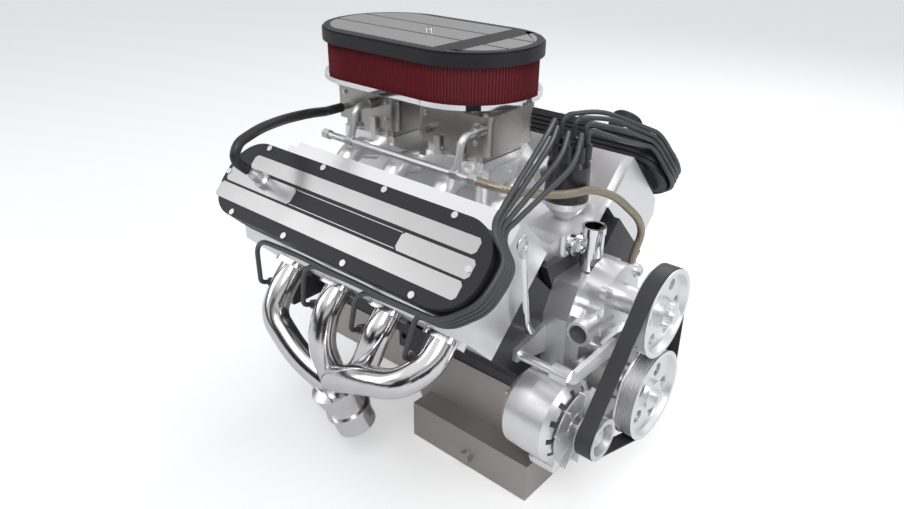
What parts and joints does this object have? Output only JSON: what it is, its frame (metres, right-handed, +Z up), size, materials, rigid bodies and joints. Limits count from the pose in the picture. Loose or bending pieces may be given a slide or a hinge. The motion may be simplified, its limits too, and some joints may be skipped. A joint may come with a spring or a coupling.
{
  "type": "V8 engine",
  "caption": "Complete V engine at ninety degrees with twin carburettors, oval air cleaner, headers, wide sump and a ribbed-belt front drive.",
  "frame": {"origin": "on the crankshaft axis, in the plane of the block's rear face and of the crankshaft flange's rear face", "axes": "+X forwards along the crankshaft to the pulleys, +Y to the engine's left bank, +Z up between the banks"},
  "size_m": [0.7061, 0.7152, 0.695],
  "materials": {
    "block_paint": "satin black paint on cast iron",
    "polished_aluminium": "polished casting",
    "cast_aluminium": "as cast",
    "satin_black": "satin black with brushed stripes",
    "forged_steel": "machined",
    "bright_steel": "bright",
    "chrome": "mirror bright",
    "bare_steel": "bare welded sheet",
    "zinc_body": "zinc die casting",
    "black_plastic": "moulded",
    "lead_rubber": "charcoal silicone",
    "belt_rubber": "ribbed belt",
    "black_rubber": "moulded hose",
    "braid": "braided sleeve",
    "red_filter": "pleated oiled gauze",
    "gasket": "composite"
  },
  "bodies": {
    "engine": {"engine_block": "block_paint", "main_bearing_caps": "forged_steel", "cylinder_head_right": "polished_aluminium", "cylinder_head_left": "polished_aluminium", "head_gaskets": "gasket", "pistons_and_pins": "cast_aluminium", "connecting_rods": "forged_steel", "lifters": "forged_steel", "pushrods": "forged_steel", "rocker_arms": "cast_aluminium", "valves_and_springs": "forged_steel", "valve_cover_right": "satin_black", "valve_cover_left": "satin_black", "cover_screws": "bright_steel", "intake_manifold": "polished_aluminium", "carburettor_rear": "zinc_body", "carburettor_front": "zinc_body", "air_cleaner_base": "chrome", "air_filter_element": "red_filter", "air_cleaner_lid": "satin_black", "distributor_housing": "polished_aluminium", "distributor_cap": "black_plastic", "spark_plugs": "bright_steel", "plug_boots": "lead_rubber", "plug_wires_right": "lead_rubber", "plug_wires_left": "lead_rubber", "exhaust_header_right": "chrome", "exhaust_header_left": "chrome", "oil_pan": "bare_steel", "oil_pump": "cast_aluminium", "timing_cover": "polished_aluminium", "timing_chain": "forged_steel", "serpentine_belt": "belt_rubber", "water_pump_housing": "polished_aluminium", "thermostat_housing": "chrome", "alternator_case": "polished_aluminium", "alternator_bracket": "polished_aluminium", "fuel_pump": "polished_aluminium", "fuel_rail": "polished_aluminium", "fuel_hose": "braid", "breather_cap": "satin_black", "pcv_valve": "bright_steel", "pcv_hose": "black_rubber", "dipstick_tube": "chrome"},
    "crank": {"crankshaft": "forged_steel", "harmonic_damper": "forged_steel", "crank_pulley": "polished_aluminium"},
    "cam": {"camshaft": "forged_steel", "cam_sprocket": "forged_steel"},
    "distributor": {"distributor_shaft": "forged_steel"},
    "water_pump": {"water_pump_shaft": "forged_steel", "water_pump_pulley": "polished_aluminium"},
    "alternator": {"alternator_rotor": "bright_steel", "alternator_pulley": "bright_steel"},
    "throttle_rear_primary": {"throttle_shaft_rear_primary": "bright_steel"},
    "throttle_rear_secondary": {"throttle_shaft_rear_secondary": "bright_steel"},
    "throttle_front_primary": {"throttle_shaft_front_primary": "bright_steel"},
    "throttle_front_secondary": {"throttle_shaft_front_secondary": "bright_steel"},
    "choke": {"choke_shaft": "bright_steel"},
    "dipstick": {"dipstick": "bright_steel"}
  },
  "joints": [
    {"name": "crank_spin", "type": "hinge", "parent": "engine", "child": "crank", "pos_m": [0, 0, 0], "axis": [1, 0, 0], "continuous": true, "deforming": ["connecting_rods"]},
    {"name": "cam_spin", "type": "hinge", "parent": "engine", "child": "cam", "pos_m": [0, 0, 0.118], "axis": [1, 0, 0], "continuous": true, "deforming": ["lifters"]},
    {"name": "distributor_spin", "type": "hinge", "parent": "engine", "child": "distributor", "pos_m": [0.458, 0.027, 0.25], "axis": [0, 0, 1], "continuous": true},
    {"name": "water_pump_spin", "type": "hinge", "parent": "engine", "child": "water_pump", "pos_m": [0, 0, 0.15], "axis": [1, 0, 0], "continuous": true},
    {"name": "alternator_spin", "type": "hinge", "parent": "engine", "child": "alternator", "pos_m": [0, -0.158, 0.012], "axis": [1, 0, 0], "continuous": true},
    {"name": "throttle_rear_primary_turn", "type": "hinge", "parent": "engine", "child": "throttle_rear_primary", "pos_m": [0.118, 0, 0.329], "axis": [0, 1, 0], "range_deg": [0, 75]},
    {"name": "throttle_rear_secondary_turn", "type": "hinge", "parent": "engine", "child": "throttle_rear_secondary", "pos_m": [0.07, 0, 0.329], "axis": [0, 1, 0], "range_deg": [0, 75]},
    {"name": "throttle_front_primary_turn", "type": "hinge", "parent": "engine", "child": "throttle_front_primary", "pos_m": [0.314, 0, 0.329], "axis": [0, 1, 0], "range_deg": [0, 75]},
    {"name": "throttle_front_secondary_turn", "type": "hinge", "parent": "engine", "child": "throttle_front_secondary", "pos_m": [0.266, 0, 0.329], "axis": [0, 1, 0], "range_deg": [0, 75]},
    {"name": "choke_turn", "type": "hinge", "parent": "engine", "child": "choke", "pos_m": [0.094, 0, 0.41], "axis": [0, 1, 0], "range_deg": [0, 85]},
    {"name": "dipstick_pull", "type": "slide", "parent": "engine", "child": "dipstick", "axis": [0, -0.1498, 0.9887], "range_m": [0, 0.25]}
  ],
  "couplings": [
    {"joint": "cam_spin", "follows": "crank_spin", "ratio": 0.5},
    {"joint": "distributor_spin", "follows": "crank_spin", "ratio": 0.5},
    {"joint": "water_pump_spin", "follows": "crank_spin", "ratio": 1.0725},
    {"joint": "alternator_spin", "follows": "crank_spin", "ratio": 2.3871},
    {"joint": "throttle_rear_secondary_turn", "follows": "throttle_rear_primary_turn", "ratio": 1},
    {"joint": "throttle_front_primary_turn", "follows": "throttle_rear_primary_turn", "ratio": 1},
    {"joint": "throttle_front_secondary_turn", "follows": "throttle_rear_primary_turn", "ratio": 1}
  ]
}
